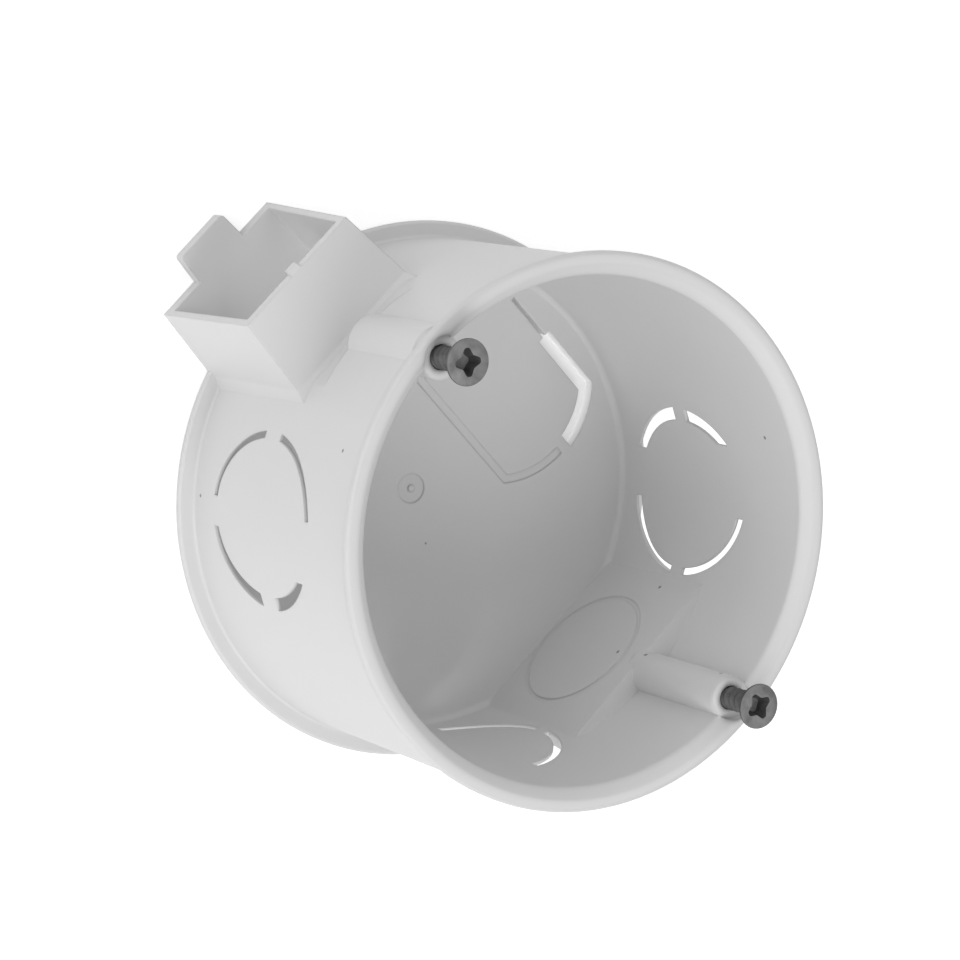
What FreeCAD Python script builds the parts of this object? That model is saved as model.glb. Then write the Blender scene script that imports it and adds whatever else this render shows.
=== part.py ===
"""Round flush-mounting switch box with a coupling tunnel and two device screws.

The box stands on its closed end. The origin is on the box axis in the outer face of that end,
+Z points out of the mouth and +X towards the coupling tunnel. Every size is in millimetres.
"""
import FreeCAD, Part
import math
import os

V = FreeCAD.Vector
X_AXIS, Y_AXIS, Z_AXIS = V(1, 0, 0), V(0, 1, 0), V(0, 0, 1)
ORIGIN = V(0, 0, 0)

# Cup
BOX_DEPTH = 42.0          # outer face of the closed end to the rim
SCREW_SPACING = 60.0      # centre to centre of the device screws
BORE_PAST_SCREWS = 0.3    # bore radius at the floor, past the screw centres
BORE_DRAFT = 0.25         # growth of the bore radius from floor to lip
WALL_FOOT = 1.9           # wall at the flange
WALL_TOP = 1.95           # wall under the bead of the rim
WALL_MOUTH = 2.85         # wall at the rim, its bead and the lip's bevel included
BEAD_HEIGHT = 1.0         # straight side of the bead outside the rim
BEAD_SLOPE = 0.9          # height of the slope under it
FLOOR = 1.8               # closed end
FLOOR_FILLET = 0.8
LIP_BEVEL_WIDTH = 1.35    # bevel inside the rim
LIP_BEVEL_HEIGHT = 1.3
FLANGE_REACH = 2.1        # flange past the foot of the wall
FLANGE_THICKNESS = 1.05
EDGE_BEVEL = 0.3

# Screw posts and the ridges that back them outside
POST_RADIUS = 2.65
POST_DROP = 1.1           # rim to post top
RIDGE_RADIUS = 3.7
RIDGE_DROP = 0.9          # rim to ridge top
RIDGE_BEVEL = 0.5

# Device screws
THREAD_RADIUS = 1.45
SCREW_CLEARANCE = 0.05    # radial, thread crest to post hole
HEAD_RADIUS = 2.75
HEAD_RIM = 0.3            # straight edge of the countersunk head
SCREW_LENGTH = 16.0       # over the head
SCREW_TIP = 1.2
SCREW_STANDOFF = 4.5      # thread that shows between post and head
HOLE_PAST_TIP = 0.2       # post hole past the tip of a screw driven home
RECESS_WIDTH = 0.75       # wing of the cross recess
RECESS_REACH = 1.55       # wing tip from the screw axis, at the top
RECESS_DEPTH = 1.35
RECESS_TAPER = 0.55       # bottom of the recess as a share of its top

# Flat for the next box, on the -X side
GANG_SPACING = 71.0       # axis to axis of coupled boxes
MATE_FLAT = 29.1          # outer face of the flat from the axis
MATE_WALL = 1.6
MATE_LEDGE = 23.4         # top of the ledge inside, above the flat
MATE_PANEL_RADIUS = 8.7   # round break-out panel, scored inside
MATE_PANEL_Y = 0.75
MATE_PANEL_Z = 11.0
PANEL_SCORE_DEPTH = 0.12
SCORE_WIDTH = 0.5
SCORE_DEPTH = 0.2

# Flat that carries the tunnel, on the +X side
TUNNEL_FLAT = 31.35       # outer face of the flat from the axis
TUNNEL_FLAT_WALL = 1.6
TUNNEL_SHELF = 25.5       # underside of the wall above the flat

# Coupling tunnel: widths are outside, at its back and its front wall
TUNNEL_ROOT_BACK = 20.8
TUNNEL_ROOT_FRONT = 20.0
TUNNEL_ROOT_HEIGHT = 22.3
TUNNEL_END_BACK = 19.4
TUNNEL_END_FRONT = 18.0
TUNNEL_END_HEIGHT = 21.2
TUNNEL_SIDE_WALL = 0.9
TUNNEL_FRONT_WALL = 1.2
TUNNEL_OVERLAP = 6.0      # start of its form inside the cup, before the cavity trims it
COLLAR_GROWTH = 0.9       # bead round the tunnel's root, at its start
COLLAR_FROM = 1.5         # its start inside the flat
COLLAR_TO = 0.7           # its end outside the flat
COLLAR_SINK = 0.1         # and below the tunnel's face there
TONGUE_ROOT = 8.1         # tongue on the tunnel's back wall
TONGUE_TIP = 7.5
TONGUE_REACH = 4.0
TONGUE_CORNER = 0.5
NIB_WIDTH = 1.6           # catch on the tunnel's front wall
NIB_REACH = 0.6
NIB_BACK = 1.1
NIB_DROP = 0.7

# Knock-outs in the wall: u runs round the box towards the Y axis
TUNNEL_SIDE_KNOCKOUT = 18.6   # height of the centre of the one beside the tunnel
TUNNEL_SIDE_SHIFT = 0.3       # its centre off 45 degrees, along u
TUNNEL_SIDE_SLOT_ENDS = 0.9   # its slot width at the foot and the top
TUNNEL_SIDE_BRIDGE = 3.8      # its bridges at the sides
TUNNEL_SIDE_FOOT_FROM = -1.6  # its bridges at the foot and the top, along u from its centre
TUNNEL_SIDE_FOOT_TO = 2.1
TUNNEL_SIDE_TOP_FROM = -1.5
TUNNEL_SIDE_TOP_TO = 6.1
FLAT_SIDE_KNOCKOUT = 16.9     # height of the two beside the mating flat
FLAT_SIDE_SHIFT = 0.8
FLAT_SIDE_SLOT_ENDS = 1.5
FLAT_SIDE_BRIDGE = 2.4
FLAT_SIDE_FOOT_FROM = -2.0
FLAT_SIDE_FOOT_TO = 4.4
FLAT_SIDE_TOP_FROM = -2.2
FLAT_SIDE_TOP_TO = 6.9
WALL_KNOCKOUT_U = 10.7    # half size of the slot ring, outside, along u
WALL_KNOCKOUT_Z = 12.3    # the same, along z
SLOT_NARROW = 0.85        # slot width on the side of the X axis
SLOT_WIDE = 1.55          # slot width on the side of the Y axis
WEB = 0.45                # wall left round the slots
POCKET_PAST_U = 0.5       # thinned wall past the ring, along u
POCKET_PAST_Z = 2.6       # the same, along z

# Knock-out in the floor: a disc with two flats
FLOOR_KNOCKOUT_X = 1.4
FLOOR_KNOCKOUT_Y = -17.6
FLOOR_KNOCKOUT_RADIUS = 12.4
FLOOR_KNOCKOUT_FLAT = 8.3
FLOOR_SLOT = 2.1          # open slot in its outline
FLOOR_SLOT_FROM_X = 1.6
FLOOR_SLOT_TO_Y = -19.0
FLOOR_NARROW_SLOT = 0.5
FLOOR_NARROW_SLOT_END_X = 8.6
FLOOR_SCORE_WIDTH = 1.1

# Gate mark near the middle of the floor
GATE_X = 1.6
GATE_Y = 1.1
GATE_RADIUS = 1.9
GATE_DEPTH = 0.2
GATE_STUB_RADIUS = 0.45
GATE_STUB_HEIGHT = 0.3

BORE_FOOT = SCREW_SPACING / 2 + BORE_PAST_SCREWS
BORE_LIP = BORE_FOOT + BORE_DRAFT
WALL_FOOT_RADIUS = BORE_FOOT + WALL_FOOT
WALL_TOP_RADIUS = BORE_LIP + WALL_TOP
MOUTH_RADIUS = BORE_LIP + WALL_MOUTH
BEAD_FOOT = BOX_DEPTH - BEAD_HEIGHT - BEAD_SLOPE
FLANGE_RADIUS = WALL_FOOT_RADIUS + FLANGE_REACH
POST_TOP = BOX_DEPTH - POST_DROP
TUNNEL_END = GANG_SPACING - MATE_FLAT
HEAD_CONE = HEAD_RADIUS - THREAD_RADIUS
SCREW_TOP = POST_TOP + SCREW_STANDOFF + HEAD_CONE + HEAD_RIM
HOLE_BOTTOM = SCREW_TOP - SCREW_LENGTH - SCREW_STANDOFF - HOLE_PAST_TIP
REACH = FLANGE_RADIUS + GANG_SPACING    # past everything, for cutting tools


def block(x_low, x_high, y_low, y_high, z_low, z_high):
    corner = V(x_low, y_low, z_low)
    return Part.makeBox(x_high - x_low, y_high - y_low, z_high - z_low, corner)


def rounded_wire(points, radii):
    """Closed wire through points, each corner rounded by its radius (0 keeps it sharp)."""
    count = len(points)
    entries, exits, edges = [], [], []
    for i, point in enumerate(points):
        before = (points[i - 1] - point).normalize()
        after = (points[(i + 1) % count] - point).normalize()
        half = before.getAngle(after) / 2
        reach = radii[i] / math.tan(half)
        entries.append(point + before * reach)
        exits.append(point + after * reach)
        if radii[i] > 0:
            inward = (before + after).normalize()
            crown = point + inward * (radii[i] / math.sin(half) - radii[i])
            edges.append(Part.Arc(entries[i], crown, exits[i]).toShape())
    for i in range(count):
        edges.append(Part.makeLine(exits[i], entries[(i + 1) % count]))
    return Part.Wire(Part.__sortEdges__(edges))


def revolved(profile):
    """Solid of revolution about Z from (radius, height, corner radius) rows."""
    points = [V(radius, 0, height) for radius, height, corner in profile]
    corners = [corner for radius, height, corner in profile]
    face = Part.Face(rounded_wire(points, corners))
    return face.revolve(ORIGIN, Z_AXIS, 360)


def section(x, half_back, half_front, z_back, z_front):
    """Trapezoid across the tunnel at x."""
    corners = [V(x, -half_back, z_back), V(x, half_back, z_back),
               V(x, half_front, z_front), V(x, -half_front, z_front)]
    return Part.makePolygon(corners + corners[:1])


def outer_form():
    """Flange, wall and bead of the rim as one turned form, without its flats."""
    return revolved([
        (0, 0, 0),
        (FLANGE_RADIUS - EDGE_BEVEL, 0, 0),
        (FLANGE_RADIUS, EDGE_BEVEL, 0),
        (FLANGE_RADIUS, FLANGE_THICKNESS - EDGE_BEVEL, 0),
        (FLANGE_RADIUS - EDGE_BEVEL, FLANGE_THICKNESS, 0),
        (WALL_FOOT_RADIUS + EDGE_BEVEL, FLANGE_THICKNESS, 0),
        (WALL_FOOT_RADIUS, FLANGE_THICKNESS + EDGE_BEVEL, 0),
        (WALL_TOP_RADIUS, BEAD_FOOT, 0),
        (MOUTH_RADIUS, BEAD_FOOT + BEAD_SLOPE, 0),
        (MOUTH_RADIUS, BOX_DEPTH - EDGE_BEVEL, 0),
        (MOUTH_RADIUS - EDGE_BEVEL, BOX_DEPTH, 0),
        (0, BOX_DEPTH, 0)])


def cavity():
    """Space inside the cup, narrowed by the two flats, with the bevel of the lip."""
    space = revolved([
        (0, FLOOR, 0),
        (BORE_FOOT, FLOOR, FLOOR_FILLET),
        (BORE_LIP, BOX_DEPTH - LIP_BEVEL_HEIGHT, 0),
        (BORE_LIP + LIP_BEVEL_WIDTH, BOX_DEPTH, 0),
        (BORE_LIP + LIP_BEVEL_WIDTH, BOX_DEPTH + 1, 0),
        (0, BOX_DEPTH + 1, 0)])
    mate_side = block(-REACH, MATE_WALL - MATE_FLAT, -REACH, REACH, 0, MATE_LEDGE)
    tunnel_ledge = TUNNEL_SHELF + TUNNEL_FLAT_WALL
    tunnel_side = block(TUNNEL_FLAT - TUNNEL_FLAT_WALL, REACH, -REACH, REACH, 0, tunnel_ledge)
    return space.cut(mate_side).cut(tunnel_side)


def ridge(side, foot):
    """Rounded backing outside a post, from the shelf below it to near the rim."""
    top = BOX_DEPTH - RIDGE_DROP
    centre = V(side * SCREW_SPACING / 2, 0, foot)
    post = Part.makeCylinder(RIDGE_RADIUS, top - RIDGE_BEVEL - foot, centre)
    cap_base = centre + V(0, 0, top - RIDGE_BEVEL - foot)
    cap = Part.makeCone(RIDGE_RADIUS, RIDGE_RADIUS - RIDGE_BEVEL, RIDGE_BEVEL, cap_base)
    return post.fuse(cap)


def tunnel_loft(inside):
    """Drafted form of the tunnel, or of the passage inside it, through the wall of the cup."""
    side = TUNNEL_SIDE_WALL if inside else 0
    front = TUNNEL_FRONT_WALL if inside else 0
    floor = FLOOR if inside else 0
    length = TUNNEL_END - TUNNEL_FLAT
    stop = TUNNEL_END + (1 if inside else 0)
    wires = []
    for x in (TUNNEL_FLAT - TUNNEL_OVERLAP, stop):
        t = (x - TUNNEL_FLAT) / length
        half_back = (TUNNEL_ROOT_BACK + t * (TUNNEL_END_BACK - TUNNEL_ROOT_BACK)) / 2 - side
        half_front = (TUNNEL_ROOT_FRONT + t * (TUNNEL_END_FRONT - TUNNEL_ROOT_FRONT)) / 2 - side
        z_front = TUNNEL_ROOT_HEIGHT + t * (TUNNEL_END_HEIGHT - TUNNEL_ROOT_HEIGHT) - front
        wires.append(section(x, half_back, half_front, floor, z_front))
    return Part.makeLoft(wires, True, True)


def tunnel_collar():
    """Bead that fills the corner between the tunnel's root and the wall."""
    wires = []
    ends = ((TUNNEL_FLAT - COLLAR_FROM, COLLAR_GROWTH), (TUNNEL_FLAT + COLLAR_TO, -COLLAR_SINK))
    for x, grow in ends:
        half_back = TUNNEL_ROOT_BACK / 2 + grow
        half_front = TUNNEL_ROOT_FRONT / 2 + grow
        wires.append(section(x, half_back, half_front, 0, TUNNEL_ROOT_HEIGHT + grow))
    return Part.makeLoft(wires, True, True)


def tongue():
    """Tapered tongue that carries the tunnel's back wall into the next box."""
    root, tip = TONGUE_ROOT / 2, TONGUE_TIP / 2
    x_root, x_tip = TUNNEL_END - 1, TUNNEL_END + TONGUE_REACH
    points = [V(x_root, -root, 0), V(TUNNEL_END, -root, 0), V(x_tip, -tip, 0),
              V(x_tip, tip, 0), V(TUNNEL_END, root, 0), V(x_root, root, 0)]
    corners = [0, 0, TONGUE_CORNER, TONGUE_CORNER, 0, 0]
    return Part.Face(rounded_wire(points, corners)).extrude(V(0, 0, FLOOR))


def nib():
    """Small sloped catch in the middle of the tunnel's front edge."""
    top = TUNNEL_END_HEIGHT
    low = top - TUNNEL_FRONT_WALL - NIB_DROP
    x_back, x_tip = TUNNEL_END - NIB_BACK, TUNNEL_END + NIB_REACH
    corners = [V(x_back, -NIB_WIDTH / 2, top - TUNNEL_FRONT_WALL), V(x_back, -NIB_WIDTH / 2, top),
               V(TUNNEL_END, -NIB_WIDTH / 2, top), V(x_tip, -NIB_WIDTH / 2, top - NIB_REACH),
               V(x_tip, -NIB_WIDTH / 2, low + NIB_REACH), V(TUNNEL_END, -NIB_WIDTH / 2, low)]
    return Part.Face(Part.makePolygon(corners + corners[:1])).extrude(V(0, NIB_WIDTH, 0))


def ellipse_prism(centre_u, height, half_u, half_z):
    """Prism along +Y from an ellipse in the XZ plane, u along X."""
    centre = V(centre_u, 0, height)
    if half_z >= half_u:
        curve = Part.Ellipse(centre + V(0, 0, half_z), centre + V(half_u, 0, 0), centre)
    else:
        curve = Part.Ellipse(centre + V(half_u, 0, 0), centre + V(0, 0, half_z), centre)
    return Part.Face(Part.Wire(curve.toShape())).extrude(V(0, MOUTH_RADIUS + 1, 0))


def slot_ring(shift, height, slot_ends, side_bridge, foot, top):
    """Cutter for the crescent slots round a knock-out, drawn facing +Y with u along +X."""
    depth = MOUTH_RADIUS + 1
    inner_u = WALL_KNOCKOUT_U - (SLOT_NARROW + SLOT_WIDE) / 2
    off_centre = (SLOT_NARROW - SLOT_WIDE) / 2
    ring = ellipse_prism(shift, height, WALL_KNOCKOUT_U, WALL_KNOCKOUT_Z)
    ring = ring.cut(ellipse_prism(shift + off_centre, height, inner_u, WALL_KNOCKOUT_Z - slot_ends))
    side_bridges = block(-REACH, REACH, 0, depth, height - side_bridge / 2, height + side_bridge / 2)
    foot_bridge = block(shift + foot[0], shift + foot[1], 0, depth, 0, height)
    top_bridge = block(shift + top[0], shift + top[1], 0, depth, height, height + REACH)
    return ring.cut(side_bridges).cut(foot_bridge).cut(top_bridge)


def pocket(shift, height, from_inside):
    """Cutter that thins the wall round a knock-out, on the side away from the flush face."""
    half_u, half_z = WALL_KNOCKOUT_U + POCKET_PAST_U, WALL_KNOCKOUT_Z + POCKET_PAST_Z
    prism = ellipse_prism(shift, height, half_u, half_z)
    if from_inside:
        return prism.common(Part.makeCone(WALL_FOOT_RADIUS - WEB, WALL_TOP_RADIUS - WEB, BEAD_FOOT))
    return prism.cut(Part.makeCone(BORE_FOOT + WEB, BORE_LIP + WEB, BOX_DEPTH))


def wall_cuts():
    """Slots and pockets of the three wall knock-outs, 45 degrees off the flats."""
    tunnel_side = [
        slot_ring(TUNNEL_SIDE_SHIFT, TUNNEL_SIDE_KNOCKOUT, TUNNEL_SIDE_SLOT_ENDS, TUNNEL_SIDE_BRIDGE,
                  (TUNNEL_SIDE_FOOT_FROM, TUNNEL_SIDE_FOOT_TO),
                  (TUNNEL_SIDE_TOP_FROM, TUNNEL_SIDE_TOP_TO)),
        pocket(TUNNEL_SIDE_SHIFT, TUNNEL_SIDE_KNOCKOUT, True)]
    flat_side = [
        slot_ring(FLAT_SIDE_SHIFT, FLAT_SIDE_KNOCKOUT, FLAT_SIDE_SLOT_ENDS, FLAT_SIDE_BRIDGE,
                  (FLAT_SIDE_FOOT_FROM, FLAT_SIDE_FOOT_TO),
                  (FLAT_SIDE_TOP_FROM, FLAT_SIDE_TOP_TO)),
        pocket(FLAT_SIDE_SHIFT, FLAT_SIDE_KNOCKOUT, False)]
    cutters = []
    for cutter in tunnel_side:
        cutter = cutter.mirror(ORIGIN, X_AXIS)
        cutter.rotate(ORIGIN, Z_AXIS, -45)
        cutters.append(cutter)
    for cutter in flat_side:
        cutter.rotate(ORIGIN, Z_AXIS, 45)
        cutters += [cutter, cutter.mirror(ORIGIN, Y_AXIS)]
    return cutters


def floor_track(width, z_low, z_high):
    """Band of the given width along the outline of the floor knock-out."""
    forms = []
    for grow in (width / 2, -width / 2):
        radius = FLOOR_KNOCKOUT_RADIUS + grow
        half = FLOOR_KNOCKOUT_FLAT + grow
        centre = V(FLOOR_KNOCKOUT_X, FLOOR_KNOCKOUT_Y, z_low)
        disc = Part.makeCylinder(radius, z_high - z_low, centre)
        slab = block(-REACH, REACH, FLOOR_KNOCKOUT_Y - half, FLOOR_KNOCKOUT_Y + half, z_low, z_high)
        forms.append(disc.common(slab))
    return forms[0].cut(forms[1])


def floor_cuts():
    """Open slots and score line of the floor knock-out."""
    through = (-1, FLOOR + 1)
    wide_zone = block(-REACH, FLOOR_SLOT_FROM_X, -REACH, FLOOR_SLOT_TO_Y, *through)
    wide = floor_track(FLOOR_SLOT, *through).common(wide_zone)
    narrow_zone = block(FLOOR_SLOT_FROM_X, FLOOR_NARROW_SLOT_END_X, -REACH, FLOOR_KNOCKOUT_Y, *through)
    narrow = floor_track(FLOOR_NARROW_SLOT, *through).common(narrow_zone)
    scored = (FLOOR - SCORE_DEPTH, FLOOR + 1)
    slot_zone = block(-REACH, FLOOR_NARROW_SLOT_END_X + 1, -REACH, FLOOR_SLOT_TO_Y + 1.5, *scored)
    score = floor_track(FLOOR_SCORE_WIDTH, *scored).cut(slot_zone)
    return [wide, narrow, score]


def panel_score():
    """Round score line inside the mating wall."""
    inner_face = MATE_WALL - MATE_FLAT
    centre = V(inner_face - PANEL_SCORE_DEPTH, MATE_PANEL_Y, MATE_PANEL_Z)
    outside, inside = [
        Part.makeCylinder(MATE_PANEL_RADIUS + grow, PANEL_SCORE_DEPTH + 1, centre, X_AXIS)
        for grow in (SCORE_WIDTH / 2, -SCORE_WIDTH / 2)]
    return outside.cut(inside)


def box_body():
    """The whole moulding."""
    mate_shelf = MATE_LEDGE - MATE_WALL
    body = outer_form()
    mate_cut = block(-REACH, -MATE_FLAT, -REACH, REACH, -1, mate_shelf)
    tunnel_cut = block(TUNNEL_FLAT, REACH, -REACH, REACH, FLANGE_THICKNESS, TUNNEL_SHELF)
    body = body.cut(mate_cut).cut(tunnel_cut)
    body = body.fuse([ridge(1, TUNNEL_SHELF), ridge(-1, mate_shelf), tunnel_loft(False),
                      tunnel_collar(), tongue(), nib()])
    body = body.cut(cavity())
    for side, foot in ((1, TUNNEL_SHELF), (-1, mate_shelf)):
        centre = V(side * SCREW_SPACING / 2, 0, 0)
        post = Part.makeCylinder(POST_RADIUS, POST_TOP - foot, centre + V(0, 0, foot))
        seat = Part.makeCylinder(POST_RADIUS, BOX_DEPTH - POST_TOP + 1, centre + V(0, 0, POST_TOP))
        hole_radius = THREAD_RADIUS + SCREW_CLEARANCE
        hole = Part.makeCylinder(hole_radius, BOX_DEPTH + 1 - HOLE_BOTTOM, centre + V(0, 0, HOLE_BOTTOM))
        body = body.fuse(post).cut(seat).cut(hole)
    body = body.cut(tunnel_loft(True))
    for cutter in wall_cuts() + floor_cuts() + [panel_score()]:
        body = body.cut(cutter)
    gate = V(GATE_X, GATE_Y, FLOOR - GATE_DEPTH)
    dimple = Part.makeCylinder(GATE_RADIUS, GATE_DEPTH + 1, gate)
    stub = Part.makeCylinder(GATE_STUB_RADIUS, GATE_STUB_HEIGHT, gate)
    body = body.cut(dimple).fuse(stub)
    return body.removeSplitter()


def cross_wire(scale, z):
    """Outline of the cross recess at height z."""
    wing, arm = RECESS_WIDTH / 2 * scale, RECESS_REACH * scale
    quarter = [(arm, -wing), (arm, wing), (wing, wing)]
    points = []
    for turn in range(4):
        angle = math.radians(90 * turn)
        for x, y in quarter:
            points.append(V(x * math.cos(angle) - y * math.sin(angle),
                            x * math.sin(angle) + y * math.cos(angle), z))
    return Part.makePolygon(points + points[:1])


def device_screw(side):
    """Countersunk screw as it stands in the photograph, part driven."""
    blank = revolved([
        (0, -SCREW_LENGTH, 0),
        (THREAD_RADIUS * 0.45, -SCREW_LENGTH, 0),
        (THREAD_RADIUS, SCREW_TIP - SCREW_LENGTH, 0),
        (THREAD_RADIUS, -HEAD_RIM - HEAD_CONE, 0),
        (HEAD_RADIUS, -HEAD_RIM, 0),
        (HEAD_RADIUS, 0, 0),
        (0, 0, 0)])
    recess = Part.makeLoft([cross_wire(1, 0), cross_wire(RECESS_TAPER, -RECESS_DEPTH)], True, True)
    screw = blank.cut(recess)
    screw.translate(V(side * SCREW_SPACING / 2, 0, SCREW_TOP))
    return screw


def main():
    os.makedirs("parts", exist_ok=True)
    shapes = {
        "box_body": box_body(),
        "tunnel_side_screw": device_screw(1),
        "flat_side_screw": device_screw(-1)}
    for name, shape in shapes.items():
        shape.exportStep("parts/" + name + ".step")
        box = shape.BoundBox
        print(name, "valid", shape.isValid(), "solids", len(shape.Solids),
              "volume", round(shape.Volume, 1),
              "x", round(box.XMin, 2), round(box.XMax, 2),
              "y", round(box.YMin, 2), round(box.YMax, 2),
              "z", round(box.ZMin, 2), round(box.ZMax, 2))


main()
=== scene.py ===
import math

import bmesh
import bpy
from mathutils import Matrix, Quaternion, Vector


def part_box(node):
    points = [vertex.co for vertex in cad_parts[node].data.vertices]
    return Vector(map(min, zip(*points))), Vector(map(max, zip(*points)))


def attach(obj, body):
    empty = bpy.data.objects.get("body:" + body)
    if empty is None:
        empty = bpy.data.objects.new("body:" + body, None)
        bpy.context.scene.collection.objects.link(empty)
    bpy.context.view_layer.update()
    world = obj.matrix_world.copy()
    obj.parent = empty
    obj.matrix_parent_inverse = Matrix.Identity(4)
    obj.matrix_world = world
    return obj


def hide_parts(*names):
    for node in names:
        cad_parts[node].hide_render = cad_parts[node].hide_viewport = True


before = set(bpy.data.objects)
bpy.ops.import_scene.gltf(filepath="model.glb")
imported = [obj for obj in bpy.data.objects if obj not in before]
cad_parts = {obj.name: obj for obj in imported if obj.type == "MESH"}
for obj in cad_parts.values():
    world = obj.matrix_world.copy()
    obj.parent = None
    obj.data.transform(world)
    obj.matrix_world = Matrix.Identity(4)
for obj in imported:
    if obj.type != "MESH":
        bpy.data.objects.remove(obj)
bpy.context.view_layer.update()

MM = 0.001

# Camera: the photograph's place, aim and roll
CAMERA_PLACE = Vector((204.03, 120.49, 393.98)) * MM
CAMERA_AIM = Vector((4.63, -0.69, 20.0)) * MM
CAMERA_ROLL = math.radians(103.64)
CAMERA_LENS = 135.0                 # focal length for the sensor's width, both in millimetres
CAMERA_SENSOR = 36.0
CAMERA_NEAR = 0.02
CAMERA_FAR = 20.0

# Light
ROOM_LIGHT = 0.53
LAMPS = {                           # place, diameter, power
    "key": (Vector((-0.36, 0.56, 0.76)), 0.5, 3.4),
    "fill": (Vector((0.62, 0.60, 0.36)), 1.1, 3.2),
    "side": (Vector((0.45, -0.62, 0.64)), 0.8, 1.3)}

# Paper that the box stands on
FLOOR_SIZE = 6.0
FLOOR_RISE = 0.05 * MM              # into the closed end, so that no two faces coincide
PAPER_GREY = 0.8
PAPER_ROUGHNESS = 0.9
PAPER_GLOSS = 0.1
PAPER_WHITE = 0.5                   # what it adds to its own tone for the camera
KNOCKOUT_PLACE = Vector((1.4 * MM, -17.6 * MM, FLOOR_RISE))   # under the closed end's knock-out
KNOCKOUT_REACH = 14.0 * MM          # paper behind its slots, all under the box
KNOCKOUT_WHITE = 0.2                # what that paper adds for the camera
KNOCKOUT_GLOW = 1.15                # and throws on the slots' walls

# Housing plastic
PLASTIC_GREY = 0.70
PLASTIC_RUBBED_GREY = 0.78
PLASTIC_RUBBED_SHARE = 0.2
PLASTIC_RUBBED_WIDTH = 0.28 * MM
PLASTIC_DUST_GREY = 0.28
PLASTIC_ROUGHNESS = 0.47
PLASTIC_ROUGHNESS_SWING = 0.16
PLASTIC_GLOSS = 0.4
EDGE_ROUNDING = 0.35 * MM           # radius that every edge is shaded with
LIP_ROUNDING = 0.85 * MM            # added to it at the lip of the mouth
LIP_FROM = 40.4 * MM                # height where the lip begins

# Screw steel
# Painted light and shade: faces that look out of the mouth get the lit grey, the shank and all
# other faces the darker grey of painted shade
STEEL_PAINTED_LIT_GREY = 0.27
STEEL_PAINTED_SHADE_GREY = 0.12
STEEL_WORN_GREY = 0.38
STEEL_WORN_SHARE = 0.4
STEEL_WORN_WIDTH = 0.12 * MM
STEEL_ROUGHNESS = 0.56
STEEL_ROUGHNESS_SWING = 0.35
STEEL_METALLIC = 0.7
STEEL_ROUNDING = 0.08 * MM
PAINTED_LIT_FROM = 0.8                   # Z of the normal from which a face looks out of the mouth and gets the painted lit grey

# Samples of the two effects that look for edges
RUBBED_SAMPLES = 6
ROUNDING_SAMPLES = 8

# Device screws, as turned and rolled
SCREW_TURNS = {"tunnel_side_screw": math.radians(53), "flat_side_screw": math.radians(-14)}
CREST_RADIUS = 1.45 * MM
ROOT_RADIUS = 1.08 * MM
THREAD_PITCH = 1.1 * MM
CREST_SHARE = 0.16                  # of the pitch, flat on the crest
FLANK_STEEPNESS = 1.35
RUN_IN_TURNS = 1.5                  # turns over which the thread rises at the point
RUN_OUT_TURNS = 0.5                 # and falls under the head
POINT_LENGTH = 1.6 * MM
POINT_RADIUS = 0.45 * MM
THREAD_COLUMNS = 48
THREAD_ROWS = 10                    # rows to one turn
HEAD_RADIUS = 2.75 * MM
HEAD_RIM = 0.3 * MM
HEAD_CONE = 1.3 * MM
HEAD_EDGE = 0.12 * MM
HEAD_STUB = 0.4 * MM                # core that reaches from the cone into the shank
STUB_SHARE = 0.98                   # radius at its foot, of the root's
THROAT_SHARE = 0.9                  # radius where the cone leaves it, of the crest's
HEAD_COLUMNS = 72
RECESS_WIDTH = 0.76 * MM
RECESS_HEART = 0.76 * MM
RECESS_REACH = 1.68 * MM
RECESS_DEPTH = 1.6 * MM
RECESS_ABOVE = 0.3 * MM             # the cutter's reach above the head
RECESS_LEVELS = (0.0, 0.35, 0.7, 1.0)   # rings of the cutter, in shares of the depth
RECESS_FLOOR_SHARE = 0.58           # the wings' reach at the floor, of that at the top
RECESS_CURVE = 1.3                  # power by which they draw in with depth
WING_WIDTH_KEPT = 0.6               # share of the wings' width that doesn't draw in
HEART_KEPT = 0.35                   # the same of the heart
WING_CORNER = 0.4                   # length of the cut corner at a wing's tip, in half widths
WING_TIP = 0.5                      # half width between the corners, in the same
SHARP_ANGLE = math.radians(38)

MERGE_DISTANCE = 0.002 * MM


def new_object(name, mesh):
    piece = bpy.data.objects.new(name, mesh)
    bpy.context.scene.collection.objects.link(piece)
    return piece


def mesh_from(name, points, faces):
    mesh = bpy.data.meshes.new(name)
    mesh.from_pydata([tuple(point) for point in points], [], faces)
    mesh.update()
    return mesh


def closed_normals(mesh):
    """Merge what coincides and turn every face outward."""
    work = bmesh.new()
    work.from_mesh(mesh)
    bmesh.ops.remove_doubles(work, verts=work.verts, dist=MERGE_DISTANCE)
    bmesh.ops.dissolve_degenerate(work, dist=MERGE_DISTANCE, edges=work.edges)
    bmesh.ops.recalc_face_normals(work, faces=work.faces)
    work.to_mesh(mesh)
    work.free()


def turned(name, profile, columns):
    """Closed mesh turned about Z from (radius, height) pairs, first and last on the axis."""
    points = []
    for radius, height in profile:
        for column in range(columns):
            angle = math.tau * column / columns
            points.append((radius * math.cos(angle), radius * math.sin(angle), height))
    faces = []
    for row in range(len(profile) - 1):
        for column in range(columns):
            after = (column + 1) % columns
            faces.append((row * columns + column, row * columns + after,
                          (row + 1) * columns + after, (row + 1) * columns + column))
    mesh = mesh_from(name, points, faces)
    closed_normals(mesh)
    return mesh


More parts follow.
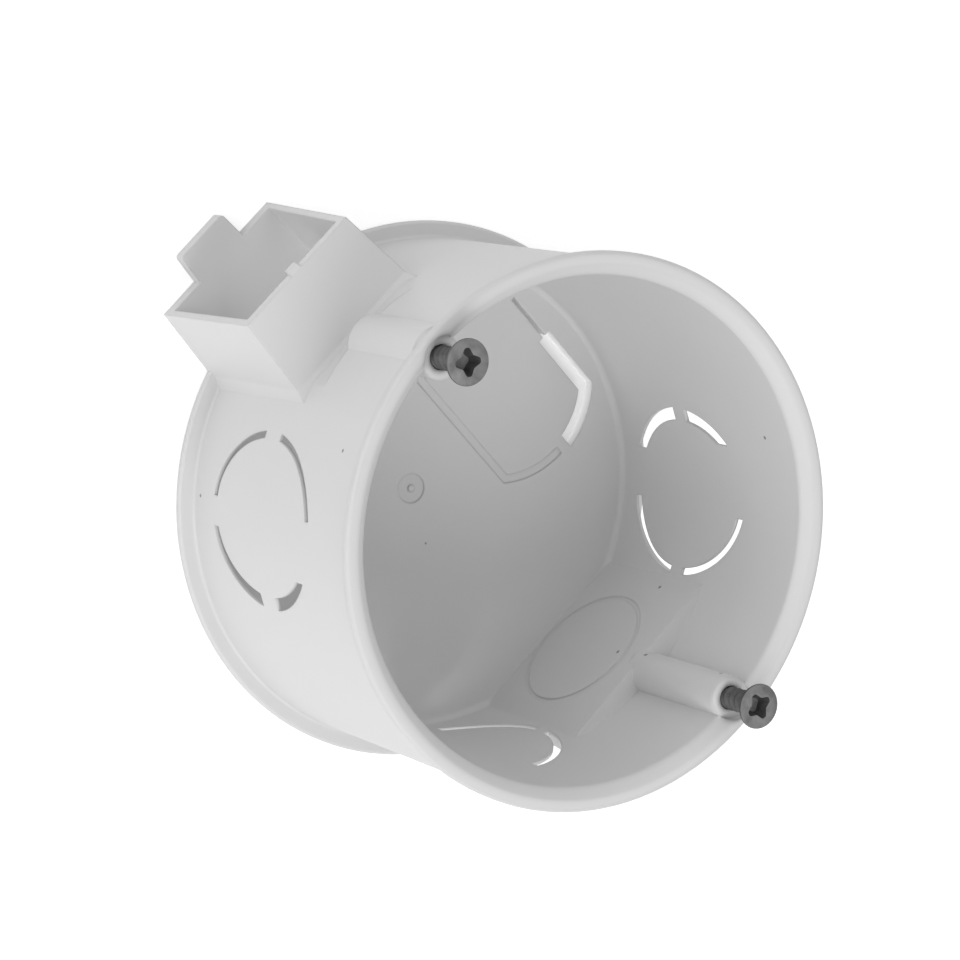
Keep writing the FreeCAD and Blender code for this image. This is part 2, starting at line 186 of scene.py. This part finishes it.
def cut_away(piece, cutter):
    """Take the cutter's solid out of the piece and drop the cutter."""
    cut = piece.modifiers.new("cut", "BOOLEAN")
    cut.operation = "DIFFERENCE"
    cut.solver = "EXACT"
    cut.object = cutter
    graph = bpy.context.evaluated_depsgraph_get()
    mesh = bpy.data.meshes.new_from_object(piece.evaluated_get(graph))
    piece.modifiers.clear()
    old = piece.data
    piece.data = mesh
    bpy.data.meshes.remove(old)
    cutter_mesh = cutter.data
    bpy.data.objects.remove(cutter)
    bpy.data.meshes.remove(cutter_mesh)


def limited(share):
    return min(max(share, 0.0), 1.0)


def thread_depth(share):
    """Height of the rolled thread at a share of its pitch, 0 in the root and 1 on the crest."""
    distance = abs((share % 1.0) - 0.5) * 2.0
    flank = (distance - CREST_SHARE) / (1.0 - CREST_SHARE)
    return 1.0 - limited(flank * FLANK_STEEPNESS)


def core_radius(height, tip):
    """Radius under the thread, drawn in to the blunt point at the tip."""
    if height < tip + POINT_LENGTH:
        share = (height - tip) / POINT_LENGTH
        return POINT_RADIUS + (ROOT_RADIUS - POINT_RADIUS) * math.sqrt(max(share, 0.0))
    return ROOT_RADIUS


def threaded_shank(tip, top):
    """Closed threaded shank from tip to top, with rows that follow the helix."""
    step = THREAD_PITCH / THREAD_ROWS
    rows = math.ceil((top - tip) / step) + THREAD_ROWS
    points = []
    for row in range(rows + 1):
        for column in range(THREAD_COLUMNS):
            turn = column / THREAD_COLUMNS
            height = tip + (row - THREAD_ROWS + turn * THREAD_ROWS) * step
            height = min(max(height, tip), top)
            run_in = limited((height - tip) / (RUN_IN_TURNS * THREAD_PITCH))
            run_out = limited((top - height) / (RUN_OUT_TURNS * THREAD_PITCH))
            reach = (CREST_RADIUS - ROOT_RADIUS) * run_in * run_out
            radius = core_radius(height, tip) + reach * thread_depth(row / THREAD_ROWS)
            angle = math.tau * turn
            points.append((radius * math.cos(angle), radius * math.sin(angle), height))
    faces = []
    for row in range(rows):
        for column in range(THREAD_COLUMNS):
            here = row * THREAD_COLUMNS + column
            if column + 1 < THREAD_COLUMNS:
                faces.append((here, here + 1, here + THREAD_COLUMNS + 1, here + THREAD_COLUMNS))
            elif row + 1 + THREAD_ROWS <= rows:
                seam = (row + THREAD_ROWS) * THREAD_COLUMNS
                faces.append((here, seam, seam + THREAD_COLUMNS, here + THREAD_COLUMNS))
    mesh = mesh_from("shank", points, faces)
    closed_normals(mesh)
    return mesh


def screw_head(name, top):
    """Countersunk head with softened edges, on a stub of the core."""
    edge = HEAD_EDGE
    under = top - HEAD_RIM - HEAD_CONE
    foot = under - HEAD_STUB
    stub = [(0, foot), (ROOT_RADIUS * STUB_SHARE, foot), (ROOT_RADIUS, under)]
    throat = (CREST_RADIUS * THROAT_SHARE, under + edge)
    # Each corner is drawn in by shares of the softened edge
    lower_corner = [(HEAD_RADIUS - edge * 0.7, top - HEAD_RIM - edge * 0.6),
                    (HEAD_RADIUS, top - HEAD_RIM + edge * 0.4)]
    upper_corner = [(HEAD_RADIUS, top - edge), (HEAD_RADIUS - edge * 0.3, top - edge * 0.3),
                    (HEAD_RADIUS - edge, top)]
    profile = [*stub, throat, *lower_corner, *upper_corner, (0, top)]
    return new_object(name, turned(name, profile, HEAD_COLUMNS))


def recess_ring(share, top, turn):
    """Outline of the cross at a share of its depth; negative shares lie above the head."""
    scale = 1.0 - (1.0 - RECESS_FLOOR_SHARE) * max(share, 0.0) ** RECESS_CURVE
    half = RECESS_WIDTH / 2 * (WING_WIDTH_KEPT + (1.0 - WING_WIDTH_KEPT) * scale)
    heart = RECESS_HEART * (HEART_KEPT + (1.0 - HEART_KEPT) * scale)
    reach = RECESS_REACH * scale
    shoulder = reach - half * WING_CORNER
    tip = half * WING_TIP
    wing_outline = ((heart, -heart), (shoulder, -half), (reach, -tip),
                    (reach, tip), (shoulder, half))
    level = Vector((0, 0, top - share * RECESS_DEPTH))
    ring = []
    for wing in range(4):
        angle = turn + math.pi / 2 * wing
        along = Vector((math.cos(angle), math.sin(angle), 0))
        across = Vector((-along.y, along.x, 0))
        ring += [along * out + across * side + level for out, side in wing_outline]
    return ring


def recess_cutter(top, turn):
    """Tapered cross with rounded wings, from above the head down to its floor."""
    shares = (-RECESS_ABOVE / RECESS_DEPTH, *RECESS_LEVELS)
    points = [point for share in shares for point in recess_ring(share, top, turn)]
    count = len(points) // len(shares)
    faces = [tuple(range(count)), tuple(reversed(range(len(points) - count, len(points))))]
    for row in range(len(shares) - 1):
        for entry in range(count):
            after = (entry + 1) % count
            faces.append((row * count + entry, (row + 1) * count + entry,
                          (row + 1) * count + after, row * count + after))
    mesh = mesh_from("recess", points, faces)
    closed_normals(mesh)
    return new_object("recess", mesh)


def device_screw(node, turn, material):
    """Screw that stands for the plain solid of the node, on the same axis, tip and top."""
    low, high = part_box(node)
    centre = (low + high) / 2
    screw = screw_head(node + "_threaded", high.z)
    cut_away(screw, recess_cutter(high.z, turn))
    shank = threaded_shank(low.z, high.z - HEAD_RIM - HEAD_CONE)
    work = bmesh.new()
    work.from_mesh(screw.data)
    work.from_mesh(shank)
    bmesh.ops.translate(work, verts=work.verts, vec=Vector((centre.x, centre.y, 0)))
    work.to_mesh(screw.data)
    work.free()
    bpy.data.meshes.remove(shank)
    for face in screw.data.polygons:
        face.use_smooth = True
    screw.data.materials.clear()
    screw.data.materials.append(material)
    screw.data.set_sharp_from_angle(angle=SHARP_ANGLE)
    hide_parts(node)
    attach(screw, node)


def grey(level):
    return (level, level, level, 1.0)


def set_or_link(tree, value, socket):
    """Give the socket a plain value or another node's output."""
    if isinstance(value, bpy.types.NodeSocket):
        tree.links.new(value, socket)
    else:
        socket.default_value = value


def math_node(tree, operation, *values):
    """Math node whose inputs are sockets or numbers; returns its output."""
    node = tree.nodes.new("ShaderNodeMath")
    node.operation = operation
    for slot, value in enumerate(values):
        set_or_link(tree, value, node.inputs[slot])
    return node.outputs[0]


def noise(tree, scale, detail, roughness):
    """Noise over the object's own space; returns its factor."""
    place = tree.nodes.new("ShaderNodeTexCoord")
    node = tree.nodes.new("ShaderNodeTexNoise")
    node.inputs["Detail"].default_value = detail
    node.inputs["Roughness"].default_value = roughness
    tree.links.new(place.outputs["Object"], node.inputs["Vector"])
    set_or_link(tree, scale, node.inputs["Scale"])
    return node.outputs[0]


def mixed(tree, mask, first, second):
    """Mix of two colours, each a socket or plain, by a mask; returns the colour socket."""
    node = tree.nodes.new("ShaderNodeMix")
    node.data_type = "RGBA"
    tree.links.new(mask, node.inputs["Factor"])
    for label, value in (("A", first), ("B", second)):
        ends = [entry for entry in node.inputs if entry.name == label and entry.type == "RGBA"]
        set_or_link(tree, value, ends[0])
    return [entry for entry in node.outputs if entry.type == "RGBA"][0]


def scaled_colour(tree, colour, factor):
    """Plain colour times a factor socket."""
    node = tree.nodes.new("ShaderNodeVectorMath")
    node.operation = "SCALE"
    node.inputs[0].default_value = colour[:3]
    tree.links.new(factor, node.inputs["Scale"])
    return node.outputs[0]


def height_of(tree, output):
    """Z of a Texture Coordinate output, such as Object or Normal."""
    place = tree.nodes.new("ShaderNodeTexCoord")
    split = tree.nodes.new("ShaderNodeSeparateXYZ")
    tree.links.new(place.outputs[output], split.inputs[0])
    return split.outputs["Z"]


def bumped(tree, shader, height, distance, strength, edge_radius):
    """Bump over a normal that rounds every edge by the given radius, a socket or a number."""
    rounded = tree.nodes.new("ShaderNodeBevel")
    rounded.samples = ROUNDING_SAMPLES
    set_or_link(tree, edge_radius, rounded.inputs["Radius"])
    bump = tree.nodes.new("ShaderNodeBump")
    bump.inputs["Strength"].default_value = strength
    bump.inputs["Distance"].default_value = distance
    tree.links.new(rounded.outputs["Normal"], bump.inputs["Normal"])
    tree.links.new(height, bump.inputs["Height"])
    tree.links.new(bump.outputs["Normal"], shader.inputs["Normal"])


def new_group(name, inputs, outputs):
    """Empty shader node group with float inputs {name: default} and outputs [name]."""
    group = bpy.data.node_groups.new(name, "ShaderNodeTree")
    kind = "NodeSocketFloat"
    for label, value in inputs.items():
        socket = group.interface.new_socket(name=label, in_out="INPUT", socket_type=kind)
        socket.default_value = value
    for label in outputs:
        group.interface.new_socket(name=label, in_out="OUTPUT", socket_type=kind)
    return group, group.nodes.new("NodeGroupInput"), group.nodes.new("NodeGroupOutput")


def grain_group():
    """Fine spark-eroded grain of a mould, with the faint clouding of the plastic."""
    group, given, made = new_group(
        "moulded_grain",
        {"Grain Scale": 5000.0, "Cloud Scale": 60.0, "Cloud Depth": 0.03},
        ["Height", "Tone", "Sheen Change"])
    fine = noise(group, given.outputs["Grain Scale"], detail=3.0, roughness=0.6)
    cloud = noise(group, given.outputs["Cloud Scale"], detail=4.0, roughness=0.55)
    off_centre = math_node(group, "SUBTRACT", cloud, 0.5)
    swing = math_node(group, "MULTIPLY", off_centre, given.outputs["Cloud Depth"])
    group.links.new(fine, made.inputs["Height"])
    group.links.new(math_node(group, "ADD", swing, 1.0), made.inputs["Tone"])
    group.links.new(off_centre, made.inputs["Sheen Change"])
    return group


def edge_group():
    """Mask that is 1 on sharp edges and falls to 0 within the given radius."""
    group, given, made = new_group("rubbed_edge", {"Radius": 0.3 * MM, "Strength": 3.0}, ["Mask"])
    bevel = group.nodes.new("ShaderNodeBevel")
    bevel.samples = RUBBED_SAMPLES
    group.links.new(given.outputs["Radius"], bevel.inputs["Radius"])
    geometry = group.nodes.new("ShaderNodeNewGeometry")
    dot = group.nodes.new("ShaderNodeVectorMath")
    dot.operation = "DOT_PRODUCT"
    group.links.new(bevel.outputs["Normal"], dot.inputs[0])
    group.links.new(geometry.outputs["Normal"], dot.inputs[1])
    bend = math_node(group, "SUBTRACT", 1.0, dot.outputs["Value"])
    strong = math_node(group, "MULTIPLY", bend, given.outputs["Strength"])
    group.links.new(math_node(group, "MINIMUM", strong, 1.0), made.inputs["Mask"])
    return group


def speck_group():
    """Mask of small specks of dust, in a share of the cells of a grid and of a size in cells."""
    group, given, made = new_group(
        "dust_specks", {"Cell Scale": 90.0, "Share": 0.02, "Size": 0.05}, ["Mask"])
    place = group.nodes.new("ShaderNodeTexCoord")
    cells = group.nodes.new("ShaderNodeTexVoronoi")
    group.links.new(place.outputs["Object"], cells.inputs["Vector"])
    group.links.new(given.outputs["Cell Scale"], cells.inputs["Scale"])
    near = math_node(group, "LESS_THAN", cells.outputs["Distance"], given.outputs["Size"])
    split = group.nodes.new("ShaderNodeSeparateColor")
    group.links.new(cells.outputs["Color"], split.inputs[0])
    picked = math_node(group, "LESS_THAN", split.outputs[0], given.outputs["Share"])
    group.links.new(math_node(group, "MULTIPLY", near, picked), made.inputs["Mask"])
    return group


def placed(tree, group, **values):
    """The group as a node, with its own values; an underscore stands for a space."""
    node = tree.nodes.new("ShaderNodeGroup")
    node.node_tree = group
    for label, value in values.items():
        node.inputs[label.replace("_", " ")].default_value = value
    return node


def new_material(name):
    material = bpy.data.materials.new(name)
    material.use_nodes = True
    tree = material.node_tree
    return material, tree, tree.nodes["Principled BSDF"]


def softer_at_lip(tree):
    """Edge radius in metres: small all over, larger at the lip of the mouth."""
    at_lip = math_node(tree, "GREATER_THAN", height_of(tree, "Object"), LIP_FROM)
    return math_node(tree, "MULTIPLY_ADD", at_lip, LIP_ROUNDING, EDGE_ROUNDING)


def housing_plastic(groups):
    """Light grey moulded plastic, matt, a little paler where edges are rubbed."""
    material, tree, shader = new_material("housing_plastic")
    grain = placed(tree, groups["grain"], Grain_Scale=4200.0, Cloud_Scale=45.0, Cloud_Depth=0.05)
    edge = placed(tree, groups["edge"], Radius=PLASTIC_RUBBED_WIDTH, Strength=2.0)
    specks = placed(tree, groups["specks"], Cell_Scale=140.0, Share=0.3, Size=0.038)
    body_colour = scaled_colour(tree, grey(PLASTIC_GREY), grain.outputs["Tone"])
    rubbed = math_node(tree, "MULTIPLY", edge.outputs["Mask"], PLASTIC_RUBBED_SHARE)
    with_edges = mixed(tree, rubbed, body_colour, grey(PLASTIC_RUBBED_GREY))
    with_dust = mixed(tree, specks.outputs["Mask"], with_edges, grey(PLASTIC_DUST_GREY))
    tree.links.new(with_dust, shader.inputs["Base Color"])
    sheen = math_node(tree, "MULTIPLY_ADD", grain.outputs["Sheen Change"],
                      PLASTIC_ROUGHNESS_SWING, PLASTIC_ROUGHNESS)
    tree.links.new(sheen, shader.inputs["Roughness"])
    shader.inputs["Specular IOR Level"].default_value = PLASTIC_GLOSS
    bumped(tree, shader, grain.outputs["Height"], distance=0.012 * MM, strength=0.5,
           edge_radius=softer_at_lip(tree))
    return material


def painted_lit_faces(tree):
    """Mask of the faces that look out of the mouth, along the object's Z; on the steel these get
    the painted lit grey.
    """
    past = math_node(tree, "SUBTRACT", height_of(tree, "Normal"), PAINTED_LIT_FROM)
    share = math_node(tree, "MULTIPLY", past, 1.0 / (1.0 - PAINTED_LIT_FROM))
    return math_node(tree, "MAXIMUM", share, 0.0)


def screw_steel(groups):
    """Zinc-plated steel gone dull and mottled, brighter on rubbed edges, with painted shade down
    the shank and a painted lit grey where faces look out of the mouth.
    """
    material, tree, shader = new_material("screw_steel")
    grain = placed(tree, groups["grain"], Grain_Scale=9000.0, Cloud_Scale=750.0, Cloud_Depth=1.3)
    edge = placed(tree, groups["edge"], Radius=STEEL_WORN_WIDTH, Strength=3.0)
    painted_shade_colour = scaled_colour(tree, grey(STEEL_PAINTED_SHADE_GREY), grain.outputs["Tone"])
    painted_lit_colour = scaled_colour(tree, grey(STEEL_PAINTED_LIT_GREY), grain.outputs["Tone"])
    # Painted light: faces that look out of the mouth get the lit grey, all others the painted shade
    # of the shank
    body_colour = mixed(tree, painted_lit_faces(tree), painted_shade_colour, painted_lit_colour)
    worn = math_node(tree, "MULTIPLY", edge.outputs["Mask"], STEEL_WORN_SHARE)
    with_edges = mixed(tree, worn, body_colour, grey(STEEL_WORN_GREY))
    tree.links.new(with_edges, shader.inputs["Base Color"])
    shader.inputs["Metallic"].default_value = STEEL_METALLIC
    sheen = math_node(tree, "MULTIPLY_ADD", grain.outputs["Sheen Change"],
                      STEEL_ROUGHNESS_SWING, STEEL_ROUGHNESS)
    tree.links.new(sheen, shader.inputs["Roughness"])
    bumped(tree, shader, grain.outputs["Height"], distance=0.015 * MM, strength=0.6,
           edge_radius=STEEL_ROUNDING)
    return material


def floor_paper():
    """Pale paper, white to the camera, that lights the closed end's slots from behind."""
    material, tree, shader = new_material("floor_paper")
    shader.inputs["Base Color"].default_value = grey(PAPER_GREY)
    shader.inputs["Roughness"].default_value = PAPER_ROUGHNESS
    shader.inputs["Specular IOR Level"].default_value = PAPER_GLOSS
    shader.inputs["Emission Color"].default_value = grey(1.0)
    path = tree.nodes.new("ShaderNodeLightPath")
    seen = math_node(tree, "MAXIMUM", path.outputs["Is Camera Ray"], path.outputs["Is Glossy Ray"])
    seen = math_node(tree, "MAXIMUM", seen, path.outputs["Is Transmission Ray"])
    place = tree.nodes.new("ShaderNodeTexCoord")
    distance = tree.nodes.new("ShaderNodeVectorMath")
    distance.operation = "DISTANCE"
    tree.links.new(place.outputs["Object"], distance.inputs[0])
    distance.inputs[1].default_value = KNOCKOUT_PLACE
    behind_slots = math_node(tree, "LESS_THAN", distance.outputs["Value"], KNOCKOUT_REACH)
    unseen = math_node(tree, "MULTIPLY", math_node(tree, "SUBTRACT", 1.0, seen), behind_slots)
    glow = math_node(tree, "MULTIPLY", unseen, KNOCKOUT_GLOW)
    white = math_node(tree, "MULTIPLY_ADD", behind_slots, KNOCKOUT_WHITE - PAPER_WHITE, PAPER_WHITE)
    strength = math_node(tree, "MULTIPLY_ADD", seen, white, glow)
    tree.links.new(strength, shader.inputs["Emission Strength"])
    return material


def body_finish(material):
    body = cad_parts["box_body"]
    body.data.materials.clear()
    body.data.materials.append(material)


def floor(material):
    half = FLOOR_SIZE / 2
    outline = ((-half, -half), (half, -half), (half, half), (-half, half))
    corners = [(x, y, FLOOR_RISE) for x, y in outline]
    piece = new_object("floor", mesh_from("floor", corners, [(0, 1, 2, 3)]))
    piece.data.materials.append(material)


def lights():
    world = bpy.data.worlds.new("room")
    bpy.context.scene.world = world
    world.use_nodes = True
    background = world.node_tree.nodes["Background"]
    background.inputs["Color"].default_value = grey(1.0)
    background.inputs["Strength"].default_value = ROOM_LIGHT
    for name, (place, size, power) in LAMPS.items():
        lamp = bpy.data.lights.new(name, "AREA")
        lamp.shape = "DISK"
        lamp.size = size
        lamp.energy = power
        holder = bpy.data.objects.new(name, lamp)
        holder.location = place
        holder.rotation_euler = (CAMERA_AIM - place).to_track_quat("-Z", "Y").to_euler()
        bpy.context.scene.collection.objects.link(holder)


def camera():
    lens = bpy.data.cameras.new("camera")
    lens.lens = CAMERA_LENS
    lens.sensor_width = CAMERA_SENSOR
    lens.sensor_fit = "HORIZONTAL"
    lens.clip_start = CAMERA_NEAR
    lens.clip_end = CAMERA_FAR
    eye = bpy.data.objects.new("camera", lens)
    eye.location = CAMERA_PLACE
    eye.rotation_mode = "QUATERNION"
    level = (CAMERA_AIM - CAMERA_PLACE).to_track_quat("-Z", "Y")
    eye.rotation_quaternion = level @ Quaternion((0, 0, 1), CAMERA_ROLL)
    bpy.context.scene.collection.objects.link(eye)
    bpy.context.scene.camera = eye
    bpy.context.view_layer.update()


def main():
    bpy.context.scene.view_settings.view_transform = "Standard"
    groups = {"grain": grain_group(), "edge": edge_group(), "specks": speck_group()}
    steel = screw_steel(groups)
    body_finish(housing_plastic(groups))
    for node, turn in SCREW_TURNS.items():
        device_screw(node, turn, steel)
    floor(floor_paper())
    lights()
    camera()


main()
